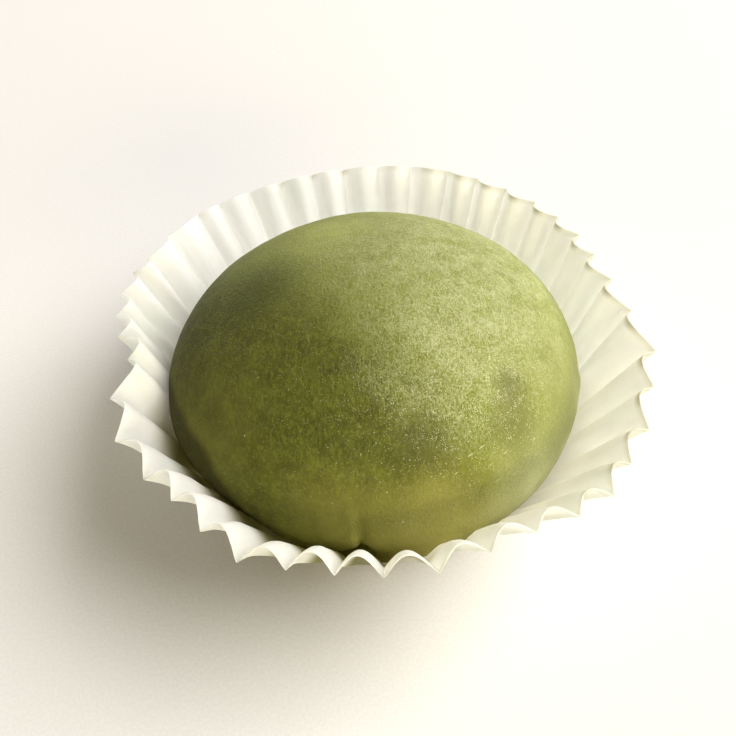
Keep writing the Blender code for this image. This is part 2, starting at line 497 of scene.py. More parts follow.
@dataclass
class StarchDust:
    """The dried crumbs and threads of starch left on the dough."""

    flakes: int = 10000
    seed: int = 515
    corners: int = 5
    narrower_top: float = 0.55
    smallest: float = 0.035 * MM
    largest: float = 0.100 * MM
    sunk: float = 0.0875
    thickest_at: Vector = Vector((7.5, -12.5, 27.5)) * MM
    patch_reach: float = 11.5 * MM
    stray_share: float = 0.016
    threads: float = 0.30
    thread_stretch: tuple[float, float] = (1.8, 2.8)
    crumb_stretch: tuple[float, float] = (0.8, 1.3)
    squeeze: float = 0.85
    flatness: float = 0.4
    drift: float = 0.2 * MM
    clump_size: float = 1.1 * MM
    clump_lift: float = 0.42
    barest: float = 0.02
    raggedness: float = 0.35
    drawn_way: Vector = Vector((0.90, 0.30, 0.28))
    steepest: float = -0.1
    set_flecks: tuple[Fleck, ...] = (
        *flecks(0.52 * MM, 0.055 * MM, (8.3, -23.4, 23.1), (9.6, -22.7, 23.3), (11.1, -24.3, 19.5)),
        *flecks(0.42 * MM, 0.055 * MM, (12.1, -22.4, 21.6), (14.4, -21.7, 20.0), (13.1, -23.2, 18.9)),
        *flecks(0.42 * MM, 0.050 * MM, (10.4, -23.6, 21.4), (15.6, -20.2, 20.6), (6.6, -24.6, 22.0)),
        *flecks(0.10 * MM, 0.090 * MM, (-0.8, -27.7, 18.8), (0.0, -27.7, 18.7), (1.6, -27.8, 18.3)),
        *flecks(0.17 * MM, 0.140 * MM, (0.7, -27.7, 18.7)),
        *flecks(0.14 * MM, 0.120 * MM, (-0.6, -26.2, 22.0), (-14.5, -18.5, 24.0), (8.0, -25.3, 20.5)),
    )

    def build(self, cake: bpy.types.Object) -> bpy.types.Object:
        """Scatter the flakes over the dough.

        Args:
            cake: the finished rice cake.

        Returns:
            The starch, as one piece.
        """
        points, faces = self._one_flake()
        rng = random.Random(self.seed)
        laid = [self._place_flake(points, spot, rng) for spot in self._choose_spots(cake, rng)]
        laid += [self._set_fleck(points, fleck, cake) for fleck in self.set_flecks]
        all_points = [point for flake in laid for point in flake]
        all_faces = [
            tuple(first + number for number in face)
            for first in range(0, len(all_points), len(points))
            for face in faces
        ]
        mesh = bpy.data.meshes.new("starch_dust")
        mesh.from_pydata(all_points, [], all_faces)
        mesh.update()
        dust = bpy.data.objects.new("starch_dust", mesh)
        bpy.context.scene.collection.objects.link(dust)
        return dust

    def _set_fleck(self, points: list[Vector], fleck: Fleck, cake: bpy.types.Object) -> list[Vector]:
        """Draw a set fleck out and lay it on the skin.

        Args:
            points: the points of the flake as modelled.
            fleck: its place and size.
            cake: the finished rice cake.

        Returns:
            The fleck's points.
        """
        _found, place, facing, _face = cake.closest_point_on_mesh(fleck.place)
        along = (self.drawn_way - facing * self.drawn_way.dot(facing)).normalized()
        lie = Matrix((along, facing.cross(along), facing)).transposed()
        return [
            place + lie @ Vector((point.x * fleck.length, point.y * fleck.width, point.z * fleck.width))
            for point in points
        ]

    def _one_flake(self) -> tuple[list[Vector], list[tuple[int, ...]]]:
        """Model one flat, rounded crumb.

        Returns:
            Its points and its faces.
        """
        bpy.ops.mesh.primitive_cylinder_add(
            vertices=self.corners, radius=1.0, depth=0.5, end_fill_type="NGON"
        )
        flake = bpy.context.object
        with editing(flake):
            choose(flake, lambda point: point.co.z > 0.0)
            bpy.ops.transform.resize(value=(self.narrower_top, self.narrower_top, 1.0))
            bpy.ops.mesh.poke()
        points = [point.co.copy() for point in flake.data.vertices]
        faces = [tuple(face.vertices) for face in flake.data.polygons]
        bpy.data.objects.remove(flake)
        return points, faces

    def _choose_spots(
        self, cake: bpy.types.Object, rng: random.Random
    ) -> list[tuple[Vector, Vector]]:
        """Pick the flakes' places, close together on the dusted side and rare elsewhere.

        Args:
            cake: the finished rice cake.
            rng: the seeded source of chance.

        Returns:
            The place and the way the skin faces for each flake.
        """
        faces = [face for face in cake.data.polygons if face.normal.z > self.steepest]
        chances = []
        for face in faces:
            away = (face.center - self.thickest_at).length / self.patch_reach
            clump = max(self.barest, noise.noise(face.center / self.clump_size) + self.clump_lift)
            chances.append(face.area * clump * (self.stray_share + math.exp(-(away**2))))
        chosen = rng.choices(faces, weights=chances, k=self.flakes)
        return [(face.center.copy(), face.normal.copy()) for face in chosen]

    def _place_flake(
        self, points: list[Vector], spot: tuple[Vector, Vector], rng: random.Random
    ) -> list[Vector]:
        """Size one flake, turn it and lay it on the skin.

        Args:
            points: the points of the flake as modelled.
            spot: its place and the way the skin faces there.
            rng: the seeded source of chance.

        Returns:
            The flake's points.
        """
        place, facing = spot
        size = self.smallest + (self.largest - self.smallest) * rng.random() ** 2
        stretch = rng.uniform(*(self.thread_stretch if rng.random() < self.threads else self.crumb_stretch))
        turn = Matrix.Rotation(rng.uniform(0.0, math.pi), 3, "Z")
        lie = facing.to_track_quat("Z", "X").to_matrix()
        sideways = (rng.uniform(-self.drift, self.drift) for _axis in range(2))
        drift = Vector((*sideways, -self.sunk * size))
        long, wide, tall = size * stretch, size * self.squeeze / stretch**0.5, size * self.flatness
        laid = []
        for point in points:
            ragged = rng.uniform(1.0 - self.raggedness, 1.0 + self.raggedness)
            shaped = Vector((point.x * long * ragged, point.y * wide, point.z * tall))
            laid.append(place + lie @ (turn @ shaped + drift))
        return laid


# --------------------------------------------------------------------------------------------------
# The paper case
# --------------------------------------------------------------------------------------------------


@dataclass
class PaperCase:
    """The disc of thin paper, pleated up into a cup round the rice cake."""

    node: str = "paper_case"
    flutes: int = 42
    points_per_flute: int = 8
    first_crease: float = math.radians(-91.5)
    base_radius: float = 19.5 * MM
    wall_length: float = 26.0 * MM
    corner_radius: float = 2.0 * MM
    thickness: float = 0.12 * MM
    corner_rows: int = 3
    wall_rows: int = 10
    base_rings: int = 5
    ring_slack: float = 0.05 * MM
    mean_lean: float = math.radians(32.0)
    lean_swings: tuple[Swing, ...] = swings((1, 1.1, 14.0), (2, 7.7, 108.0), (3, 3.2, 100.0))
    lean_presses: tuple[Press, ...] = presses(
        (0.0, 12.0, -3.5),
        (32.0, 15.0, 3.0),
        (121.0, 11.0, 3.0),
        (140.0, 9.0, -2.0),
        (161.0, 9.0, 4.0),
        (189.0, 7.0, -5.0),
        (204.0, 8.0, 3.0),
        (229.0, 5.0, -1.5),
        (244.0, 4.0, 2.2),
        (293.0, 7.0, -2.0),
        (311.0, 5.0, 1.3),
        (344.0, 5.0, 1.5),
        (268.0, 55.0, -1.0),
    )
    rim_flare: Press = Press(math.radians(250.0), math.radians(46.0), math.radians(16.0))
    spacing_swings: tuple[Swing, ...] = swings((2, 1.8, 71.0), (5, 1.3, 7.0))
    spacing_presses: tuple[Press, ...] = presses(
        (28.0, 5.0, 0.9),
        (48.0, 10.0, 0.7),
        (130.0, 6.0, -1.8),
        (148.0, 5.0, 1.6),
        (161.0, 12.0, -1.0),
        (204.0, 8.0, -1.3),
        (219.0, 5.0, 1.6),
        (256.0, 8.0, 1.3),
        (296.0, 5.0, -0.9),
        (344.0, 15.0, 1.0),
    )
    lean_jitter: float = math.radians(0.7)
    bearing_jitter: float = math.radians(0.5)
    jitter_seed: int = 7331
    crease_sharpness: float = 0.36
    ripple_size: float = 7.0 * MM
    ripple_depth: float = 0.35 * MM
    ripple_rise: float = 1.6
    sharpest: float = math.radians(75.0)
    cake_gap: float = 0.22 * MM
    near_reach: float = 6.0 * MM

    def build(self, cake: bpy.types.Object) -> bpy.types.Object:
        """Fold the case round the cake.

        Args:
            cake: the finished rice cake, which holds the paper off.

        Returns:
            The case.
        """
        case = self._cut_disc()
        self._raise_wall(case)
        rows = self._number_rows(case)
        self._note_places(case, rows)
        self._fold_pleats(case, rows)
        self._open_unevenly(case, rows)
        self._sharpen_creases(case, rows)
        apply_modifier(case, "soft folds", "SUBSURF", levels=1, render_levels=1)
        self._close_base(case)
        self._ripple(case)
        apply_modifier(
            case,
            "held off by the cake",
            "SHRINKWRAP",
            target=cake,
            wrap_method="NEAREST_SURFACEPOINT",
            wrap_mode="OUTSIDE",
            offset=self.cake_gap,
        )
        self._note_nearness(case, cake)
        apply_modifier(
            case,
            "paper thickness",
            "SOLIDIFY",
            thickness=self.thickness,
            offset=-1.0,
            use_even_offset=False,
        )
        case.data.shade_smooth()
        case.data.set_sharp_from_angle(angle=self.sharpest)
        self._keep_in_frame(case)
        return case

    def _axis(self) -> Vector:
        """Find the middle of the flat base from the frame's own case.

        Returns:
            The middle, on the floor.
        """
        base = [point.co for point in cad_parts[self.node].data.vertices if point.co.z < HAIR]
        xs = [place.x for place in base]
        ys = [place.y for place in base]
        return Vector(((min(xs) + max(xs)) / 2.0, (min(ys) + max(ys)) / 2.0, 0.0))

    def _profile(self) -> list[tuple[float, float, float]]:
        """Draw the wall's rows on an outer crease at the mean lean.

        Returns:
            Each row's radius, height and distance up the wall.
        """
        turn = math.pi / 2.0 - self.mean_lean
        corner_along = self.corner_radius * math.tan(turn / 2.0)
        flat_radius = self.base_radius - corner_along
        rows = []
        for row in range(self.corner_rows + 1):
            angle = turn * row / self.corner_rows
            radius = flat_radius + self.corner_radius * math.sin(angle)
            height = self.corner_radius * (1.0 - math.cos(angle))
            rows.append((radius, height, max(0.0, radius - self.base_radius)))
        corner_radius, corner_height, _ = rows[-1]
        for row in range(1, self.wall_rows + 1):
            along = (self.wall_length - corner_along) * row / self.wall_rows
            radius = corner_radius + along * math.sin(self.mean_lean)
            height = corner_height + along * math.cos(self.mean_lean)
            rows.append((radius, height, corner_along + along))
        return rows

    def _pleat_depth(self, along: float, lean: float) -> float:
        """Work out how deep the pleats are at a distance up the wall.

        The disc has more paper round a ring than the cup has room for, and each pleat takes up its share.

        Args:
            along: the distance from the base's edge up the wall.
            lean: how far the wall leans out from upright.

        Returns:
            The depth of a pleat.
        """
        half_paper = math.pi * (self.base_radius + along) / self.flutes
        half_room = math.pi * (self.base_radius + along * math.sin(lean)) / self.flutes
        return math.sqrt(max(0.0, half_paper**2 - half_room**2))

    def _cut_disc(self) -> bpy.types.Object:
        """Add the flat base as a filled circle and ring it with insets.

        Returns:
            The flat base.
        """
        axis = self._axis()
        flat_radius = self._profile()[0][0]
        bpy.ops.mesh.primitive_circle_add(
            vertices=self.flutes * self.points_per_flute,
            radius=flat_radius,
            fill_type="NGON",
            location=axis,
            rotation=(0.0, 0.0, self.first_crease - math.pi / 2.0),
        )
        case = bpy.context.object
        case.name = "fluted_paper_case"
        bpy.ops.object.transform_apply(location=True, rotation=True, scale=True)
        with editing(case):
            bpy.ops.mesh.select_all(action="SELECT")
            for _ring in range(self.base_rings):
                bpy.ops.mesh.inset(thickness=flat_radius / (self.base_rings + 1))
            bpy.ops.mesh.delete(type="ONLY_FACE")
            bpy.ops.mesh.select_all(action="SELECT")
            bpy.ops.mesh.flip_normals()
        return case

    def _raise_wall(self, case: bpy.types.Object) -> None:
        """Extrude the base's edge up into a smooth, evenly leaning wall, row by row.

        Args:
            case: the flat base.
        """
        axis = self._axis()
        profile = self._profile()
        flat_radius = profile[0][0]
        with editing(case):
            choose(case, lambda point: (point.co - axis).length > flat_radius - HAIR)
            for (radius, height, _), (next_radius, next_height, _) in zip(profile, profile[1:]):
                widen = next_radius / radius
                bpy.ops.mesh.extrude_edges_move(
                    TRANSFORM_OT_translate={"value": (0.0, 0.0, next_height - height)}
                )
                bpy.ops.transform.resize(value=(widen, widen, 1.0), center_override=axis)

    def _number_rows(self, case: bpy.types.Object) -> list[list[int]]:
        """Return the wall's points by row and column, while they still lie evenly.

        Args:
            case: the case before it is pleated.

        Returns:
            One list per row of the profile, holding each column's point number.
        """
        axis = self._axis()
        profile = self._profile()
        columns = self.flutes * self.points_per_flute
        rows = [[-1] * columns for _row in profile]
        for point in case.data.vertices:
            out = point.co - axis
            misses = [abs(out.xy.length - radius) + abs(out.z - height) for radius, height, _ in profile]
            row = misses.index(min(misses))
            if abs(out.xy.length - profile[row][0]) > self.ring_slack:
                continue
            turn = (math.atan2(out.y, out.x) - self.first_crease) / (2.0 * math.pi)
            rows[row][round(turn * columns) % columns] = point.index
        return rows

    def _note_places(self, case: bpy.types.Object, rows: list[list[int]]) -> None:
        """Note how far up the wall and how far into its fold each point lies, for the finish.

        Args:
            case: the smooth cup.
            rows: its points by row and column.
        """
        up = np.zeros(len(case.data.vertices))
        into = np.zeros(len(case.data.vertices))
        for row, (_radius, _height, along) in zip(rows, self._profile()):
            for column, number in enumerate(row):
                up[number] = along / self.wall_length
                into[number] = math.sin(math.pi * (column % self.points_per_flute) / self.points_per_flute)
        Note.UP_THE_WALL.write(case, up)
        Note.INTO_THE_FOLD.write(case, into)

    def _note_nearness(self, case: bpy.types.Object, cake: bpy.types.Object) -> None:
        """Note how near the dough each point of the paper lies, from 0 far off to 1 touching.

        Args:
            case: the shaped cup.
            cake: the finished rice cake.
        """
        dough = BVHTree.FromPolygons(
            [point.co for point in cake.data.vertices], [face.vertices for face in cake.data.polygons]
        )
        gaps = np.array([dough.find_nearest(point.co)[3] for point in case.data.vertices])
        Note.NEAR_THE_DOUGH.write(case, np.maximum(0.0, 1.0 - gaps / self.near_reach))

    def _fold_pleats(self, case: bpy.types.Object, rows: list[list[int]]) -> None:
        """Draw the paper between the outer creases in and up, a whole ring of folds at a time.

        Args:
            case: the smooth cup.
            rows: its points by row and column.
        """
        axis = self._axis()
        sine, cosine = math.sin(self.mean_lean), math.cos(self.mean_lean)
        with editing(case):
            for row, (radius, _height, along) in enumerate(self._profile()):
                for step in range(1, self.points_per_flute):
                    share = math.sin(math.pi * step / self.points_per_flute)
                    depth = self._pleat_depth(along, self.mean_lean) * share
                    if depth == 0.0:
                        continue
                    choose_numbers(case, rows[row][step :: self.points_per_flute])
                    narrow = (radius - depth * cosine) / radius
                    bpy.ops.transform.resize(value=(narrow, narrow, 1.0), center_override=axis)
                    bpy.ops.transform.translate(value=(0.0, 0.0, depth * sine))

    def _crease_changes(self) -> list[tuple[float, float, float]]:
        """Work out how each outer crease differs from an even one.

        Returns:
            Each outer crease's even bearing, its shift round the rim and its change of lean.
        """
        rng = random.Random(self.jitter_seed)
        changes = []
        for flute in range(self.flutes):
            even = self.first_crease + 2.0 * math.pi * flute / self.flutes
            bearing = even + sum(swing.at(even) for swing in self.spacing_swings)
            bearing += sum(press.at(bearing) for press in self.spacing_presses)
            bearing += rng.uniform(-self.bearing_jitter, self.bearing_jitter)
            lean = sum(swing.at(bearing) for swing in self.lean_swings)
            lean += sum(press.at(bearing) for press in self.lean_presses)
            lean += rng.uniform(-self.lean_jitter, self.lean_jitter)
            changes.append((even, bearing - even, lean))
        return changes

    def _open_unevenly(self, case: bpy.types.Object, rows: list[list[int]]) -> None:
        """Lean each upright line of the wall about its own foot, and shift it round the rim.

        Each line is turned round to the +X side, worked on there and turned back.

        Args:
            case: the evenly pleated cup.
            rows: its points by row and column.
        """
        axis = self._axis()
        foot = axis + Vector((self.base_radius, 0.0, 0.0))
        changes = self._crease_changes()
        even_depth = self._pleat_depth(self.wall_length, self.mean_lean)
        with editing(case):
            for column in range(self.flutes * self.points_per_flute):
                flute, step = divmod(column, self.points_per_flute)
                share = step / self.points_per_flute
                even, shift, lean = changes[flute]
                _, next_shift, next_lean = changes[(flute + 1) % self.flutes]
                bearing = even + 2.0 * math.pi * share / self.flutes
                shift += (next_shift - shift) * share
                lean += (next_lean - lean) * share
                deepen = self._pleat_depth(self.wall_length, self.mean_lean + lean) / even_depth
                whole = [row[column] for row in rows]
                choose_numbers(case, whole)
                turn_chosen(-bearing, "Z", axis)
                for corner_row in range(1, self.corner_rows):
                    choose_numbers(case, [whole[corner_row]])
                    turn_chosen(lean * corner_row / self.corner_rows, "Y", foot)
                choose_numbers(case, whole[self.corner_rows :])
                turn_chosen(-self.mean_lean, "Y", foot)
                bpy.ops.transform.resize(value=(deepen, 1.0, 1.0), center_override=foot)
                turn_chosen(self.mean_lean + lean, "Y", foot)
                choose_numbers(case, whole[-1:])
                turn_chosen(self.rim_flare.at(bearing), "Y", self._flare_hinge(foot, lean))
                choose_numbers(case, whole)
                turn_chosen(bearing + shift, "Z", axis)

    def _flare_hinge(self, foot: Vector, lean: float) -> Vector:
        """Find the point one row below the rim on an outer crease standing at the +X side.

        Args:
            foot: the wall's foot.
            lean: the crease's change of lean.

        Returns:
            The point that the rim's last row turns about.
        """
        rows = self._profile()
        along = rows[-2][2]
        whole_lean = self.mean_lean + lean
        return foot + Vector((math.sin(whole_lean), 0.0, math.cos(whole_lean))) * along

    def _sharpen_creases(self, case: bpy.types.Object, rows: list[list[int]]) -> None:
        """Mark the outer creases so that they stay sharp when the folds are softened.

        Args:
            case: the uneven cup.
            rows: its points by row and column.
        """
        with editing(case):
            creases = [row[:: self.points_per_flute] for row in rows[self.corner_rows :]]
            choose_numbers(case, [number for crease in creases for number in crease])
            bpy.ops.transform.edge_crease(value=self.crease_sharpness)

    def _close_base(self, case: bpy.types.Object) -> None:
        """Fill the round hole left in the middle of the base.

        Args:
            case: the softened cup.
        """
        axis = self._axis()
        inner_radius = self._profile()[0][0] / (self.base_rings + 1)
        with editing(case):
            choose(case, lambda point: (point.co - axis).length < inner_radius + self.ring_slack)
            bpy.ops.mesh.edge_face_add()

    def _ripple(self, case: bpy.types.Object) -> None:
        """Ripple the wall a little, and leave the flat base alone.

        Args:
            case: the softened cup.
        """
        wall = case.vertex_groups.new(name="wall")
        full_height = node_box(self.node)[1].z
        for point in case.data.vertices:
            wall.add([point.index], min(1.0, self.ripple_rise * point.co.z / full_height), "REPLACE")
        ruffle(case, "paper ripple", self.ripple_size, 2, self.ripple_depth, wall.name)

    def _keep_in_frame(self, case: bpy.types.Object) -> None:
        """Draw the case in by the hair's breadth that its ripples stand out of the frame's box.

        Args:
            case: the finished cup.
        """
        low, high = node_box(self.node)
        places = [point.co for point in case.data.vertices]
        factors = []
        for side in range(3):
            reach = max(max(place[side] for place in places), -min(place[side] for place in places))
            factors.append(min(1.0, high[side] / reach))
        with editing(case):
            bpy.ops.mesh.select_all(action="SELECT")
            bpy.ops.transform.resize(value=factors, center_override=(0.0, 0.0, 0.0))


# --------------------------------------------------------------------------------------------------
# Finishes: the wiring, and the masks that they share
# --------------------------------------------------------------------------------------------------

Colour = tuple[float, float, float, float]
Socket = bpy.types.NodeSocket
Value = Socket | Vector | float | tuple[float, ...]

# A mix node's inputs for its share and its two colours.
MIX_SLOTS = (0, 6, 7)


@dataclass(frozen=True)
class Wiring:
    """Adds nodes to one shader tree and joins them."""

    tree: bpy.types.NodeTree

    def put(self, socket: Socket, value: Value) -> None:
        """Give an input a value, or join another node's output to it.

        Args:
            socket: the input.
            value: a number, a colour, a vector or an output.
        """
        if isinstance(value, Socket):
            self.tree.links.new(value, socket)
        else:
            socket.default_value = value

    def feed(self, node: bpy.types.Node, name: str, value: Value) -> None:
        """Fill one input of a node, found by its name in lower case with low lines for spaces."""
        wanted = name.replace("_", " ")
        self.put(next(slot for slot in node.inputs if slot.name.lower() == wanted and slot.enabled), value)

    def node(self, kind: str, **sockets: Value | str) -> bpy.types.Node:
        """Add a node and fill its inputs.

        Args:
            kind: the node's Blender type.
            **sockets: a value or another node's output for each input, by its name in lower case,
                or a word for one of the node's own settings.

        Returns:
            The new node.
        """
        node = self.tree.nodes.new(kind)
        for name, value in sockets.items():
            if isinstance(value, str):
                setattr(node, name, value)
            else:
                self.feed(node, name, value)
        return node

    def mix(self, first: Value, second: Value, share: Value) -> Socket:
        """Mix two colours.

        Args:
            first: the colour at share 0.
            second: the colour at share 1.
            share: how much of the second shows.

        Returns:
            The mixed colour.
        """
        node = self.tree.nodes.new("ShaderNodeMix")
        node.data_type = "RGBA"
        for slot, value in zip(MIX_SLOTS, (share, first, second)):
            self.put(node.inputs[slot], value)
        return node.outputs[2]

    def sum(self, first: Value, second: Value, kind: str = "ADD") -> Socket:
        """Put two numbers together.

        Args:
            first: the first number.
            second: the second number.
            kind: Blender's name for the sum.

        Returns:
            The result.
        """
        node = self.tree.nodes.new("ShaderNodeMath")
        node.operation = kind
        self.put(node.inputs[0], first)
        self.put(node.inputs[1], second)
        return node.outputs[0]

    def times(self, first: Value, second: Value) -> Socket:
        """Return two numbers multiplied."""
        return self.sum(first, second, "MULTIPLY")

    def between(self, mask: Socket, low: float, high: float) -> Socket:
        """Return a number that goes from low where a mask is 0 to high where it is full."""
        return self.sum(self.times(mask, high - low), low)

    def lay(self, under: Value, over: Colour, mask: Socket, share: float) -> Socket:
        """Return a colour with a share of another laid over it where a mask shows."""
        return self.mix(under, over, self.times(mask, share))

    def measure(self, first: Socket, second: Socket, kind: str) -> Socket:
        """Work a number out from two vectors.

        Args:
            first: the first vector.
            second: the second vector.
            kind: Blender's name for the sum.

        Returns:
            The result.
        """
        node = self.tree.nodes.new("ShaderNodeVectorMath")
        node.operation = kind
        self.put(node.inputs[0], first)
        self.put(node.inputs[1], second)
        return node.outputs["Value"]

    def cloud(self, place: Socket, per_metre: Value, layers: Value, twist: Value = 0.0) -> Socket:
        """Add a cloud.

        Args:
            place: where each point lies.
            per_metre: how many puffs it has to a metre.
            layers: how many finer layers it has.
            twist: how far it is pulled into threads.

        Returns:
            The cloud's value at each place, about one half on the whole.
        """
        node = self.node("ShaderNodeTexNoise", vector=place, scale=per_metre, detail=layers)
        self.feed(node, "distortion", twist)
        return node.outputs[0]

    def wander(self, given: dict[str, Socket]) -> Socket:
        """Return how far a mask's wobbly edge wanders in or out at each place."""
        cloud = self.cloud(given["place"], given["wobbles_per_metre"], given["layers"])
        return self.times(self.sum(cloud, 0.5, "SUBTRACT"), given["wobble"])

    def ramp(self, value: Value, start: Value, full: Value, shape: str = "LINEAR") -> Socket:
        """Follow a number between two of its values.

        Args:
            value: the number.
            start: its value where the result is 0.
            full: its value where the result is 1, which may be the lower one.
            shape: Blender's name for how the result climbs.

        Returns:
            A number from 0 to 1.
        """
        node = self.node(
            "ShaderNodeMapRange", value=value, from_min=start, from_max=full, interpolation_type=shape
        )
        return node.outputs[0]


class Mask:
    """A pattern from 0 to 1 over a surface, made by a shader node group shared by its whole kind.

    The group's inputs are the place and the kind's own fields, under the same names.
    """

    @staticmethod
    def wire(wires: Wiring, given: dict[str, Socket]) -> Socket:
        """Wire the kind's group from its inputs and return the mask."""
        raise NotImplementedError


@dataclass(frozen=True)
class SoftPatches(Mask):
    """Soft-edged cloudy patches of any size."""

    patches_per_metre: float
    starts_at: float
    full_at: float
    layers: float = 3.0
    twist: float = 0.0

    @staticmethod
    def wire(wires: Wiring, given: dict[str, Socket]) -> Socket:
        """Cut the patches out of a cloud.

        Args:
            wires: the group's wiring.
            given: the group's inputs.

        Returns:
            The mask.
        """
        cloud = wires.cloud(given["place"], given["patches_per_metre"], given["layers"], given["twist"])
        return wires.ramp(cloud, given["starts_at"], given["full_at"])


@dataclass(frozen=True)
class WindingThreads(Mask):
    """Fine winding threads."""

    threads_per_metre: float
    layers: float
    width: float
    twist: float = 0.6

    @staticmethod
    def wire(wires: Wiring, given: dict[str, Socket]) -> Socket:
        """Follow the middle level of a cloud, a little twisted.

        Args:
            wires: the group's wiring.
            given: the group's inputs.

        Returns:
            The mask.
        """
        cloud = wires.cloud(given["place"], given["threads_per_metre"], given["layers"], given["twist"])
        off_level = wires.sum(wires.sum(cloud, 0.5, "SUBTRACT"), 0.0, "ABSOLUTE")
        return wires.ramp(off_level, given["width"], 0.0)


@dataclass(frozen=True)
class SoftDab(Mask):
    """One round soft spot with a wobbly edge."""

    middle: Vector
    full_within: float
    gone_beyond: float
    wobble: float
    wobbles_per_metre: float = 260.0
    layers: float = 3.0

    @staticmethod
    def wire(wires: Wiring, given: dict[str, Socket]) -> Socket:
        """Fade with the distance from the middle.

        Args:
            wires: the group's wiring.
            given: the group's inputs.

        Returns:
            The mask.
        """
        away = wires.measure(given["place"], given["middle"], "DISTANCE")
        away = wires.sum(away, wires.wander(given))
        return wires.ramp(away, given["gone_beyond"], given["full_within"], "SMOOTHSTEP")


@dataclass(frozen=True)
class SoftSide(Mask):
    """A shade that grows softly towards one side of a piece, with a wobbly edge."""

    way: Vector
    starts_at: float
    full_at: float
    wobble: float
    wobbles_per_metre: float = 190.0
    layers: float = 4.0

    @staticmethod
    def wire(wires: Wiring, given: dict[str, Socket]) -> Socket:
        """Grow with the distance along the way.

        Args:
            wires: the group's wiring.
            given: the group's inputs.

        Returns:
            The mask.
        """
        along = wires.measure(given["place"], given["way"], "DOT_PRODUCT")
        along = wires.sum(along, wires.wander(given))
        return wires.ramp(along, given["starts_at"], given["full_at"], "SMOOTHSTEP")


@dataclass(frozen=True)
class UprightStreaks(Mask):
    """Soft streaks that run up a wall, all round an upright axis."""

    streaks_round: float
    streaks_per_metre: float
    starts_at: float
    full_at: float
    layers: float = 3.0

    @staticmethod
    def wire(wires: Wiring, given: dict[str, Socket]) -> Socket:
        """Unroll the wall and draw a cloud out along it.

        Args:
            wires: the group's wiring.
            given: the group's inputs.

        Returns:
            The mask.
        """
        split = wires.node("ShaderNodeSeparateXYZ", vector=given["place"])
        turns = wires.times(wires.sum(split.outputs["Y"], split.outputs["X"], "ARCTAN2"), 1.0 / math.tau)
        round_wall = wires.times(turns, given["streaks_round"])
        up_wall = wires.times(split.outputs["Z"], given["streaks_per_metre"])
        unrolled = wires.node("ShaderNodeCombineXYZ", x=round_wall, y=up_wall).outputs[0]
        cloud = wires.cloud(unrolled, 1.0, given["layers"])
        return wires.ramp(cloud, given["starts_at"], given["full_at"])


def build_group(kind: type[Mask]) -> bpy.types.NodeTree:
    """Build the shader node group of one kind of mask.

    Args:
        kind: the class of mask.

    Returns:
        The group.
    """
    tree = bpy.data.node_groups.new(kind.__name__, "ShaderNodeTree")
    kinds = {"place": Vector} | {field.name: field.type for field in fields(kind)}
    for name, number in kinds.items():
        socket_type = "NodeSocketVector" if number is Vector else "NodeSocketFloat"
        label = name.replace("_", " ").title()
        tree.interface.new_socket(name=label, in_out="INPUT", socket_type=socket_type)
    tree.interface.new_socket(name="Mask", in_out="OUTPUT", socket_type="NodeSocketFloat")
    given = dict(zip(kinds, tree.nodes.new("NodeGroupInput").outputs))
    mask = kind.wire(Wiring(tree), given)
    tree.links.new(mask, tree.nodes.new("NodeGroupOutput").inputs["Mask"])
    return tree


Effects = dict[type[Mask], bpy.types.NodeTree]


def build_effects() -> Effects:
    """Build the shader node groups that the finishes share, each once."""
    return {
        kind: build_group(kind) for kind in (SoftPatches, WindingThreads, SoftDab, SoftSide, UprightStreaks)
    }


@dataclass(frozen=True)
class Surface(Wiring):
    """The wiring of one finish's own material."""

    material: bpy.types.Material
    shader: bpy.types.Node
    place: Socket
    effects: Effects

    def mask(self, form: Mask, place: Socket | None = None) -> Socket:
        """Place a mask's group in the material.

        Args:
            form: the mask, with its own values.
            place: where each point lies, if not simply where it is on the piece.

        Returns:
            The mask.
        """
        node = self.tree.nodes.new("ShaderNodeGroup")
        node.node_tree = self.effects[type(form)]
        self.feed(node, "place", self.place if place is None else place)
        for field in fields(form):
            self.feed(node, field.name, getattr(form, field.name))
        return node.outputs["Mask"]

    def noted(self, note: Note) -> Socket:
        """Return the number that was noted on each point of the piece."""
        return self.node("ShaderNodeAttribute", attribute_name=note.value).outputs["Fac"]

    def finish(
        self, colour: Value, roughness: Value, height: Value, strength: float, depth: float
    ) -> None:
        """Join the colour, roughness and fine relief to the shader.

        Args:
            colour: the surface's colour.
            roughness: its roughness.
            height: its relief.
            strength: how strongly the relief shows.
            depth: how deep the relief is.
        """
        self.feed(self.shader, "base_color", colour)
        self.feed(self.shader, "roughness", roughness)
        bump = self.node("ShaderNodeBump", strength=strength, distance=depth, height=height)
        self.feed(self.shader, "normal", bump.outputs[0])


def start_surface(name: str, effects: Effects) -> Surface:
    """Start a node material.

    Args:
        name: the material's name.
        effects: the shared node groups.

    Returns:
        The material's wiring.
    """
    material = bpy.data.materials.new(name)
    material.use_nodes = True
    tree = material.node_tree
    place = tree.nodes.new("ShaderNodeTexCoord").outputs["Object"]
    return Surface(tree, material, tree.nodes["Principled BSDF"], place, effects)


# --------------------------------------------------------------------------------------------------
# Finishes: dough, starch, paper and card
# --------------------------------------------------------------------------------------------------


@dataclass(frozen=True)
class Mark:
    """One soft mark on the dough: its middle, its reach, how strongly it shows and its colour."""

    middle: Vector
    reach: float
    strength: float
    colour: Colour
    full_within: float = 0.1 * MM
    wobble_share: float = 0.8
    most_wobble: float = 4.5 * MM

    def dab(self) -> SoftDab:
        """Return the mark's soft spot, fading from its very middle and wobbly at the edge."""
        wobble = min(self.reach * self.wobble_share, self.most_wobble)
        return SoftDab(self.middle, self.full_within, self.reach, wobble)


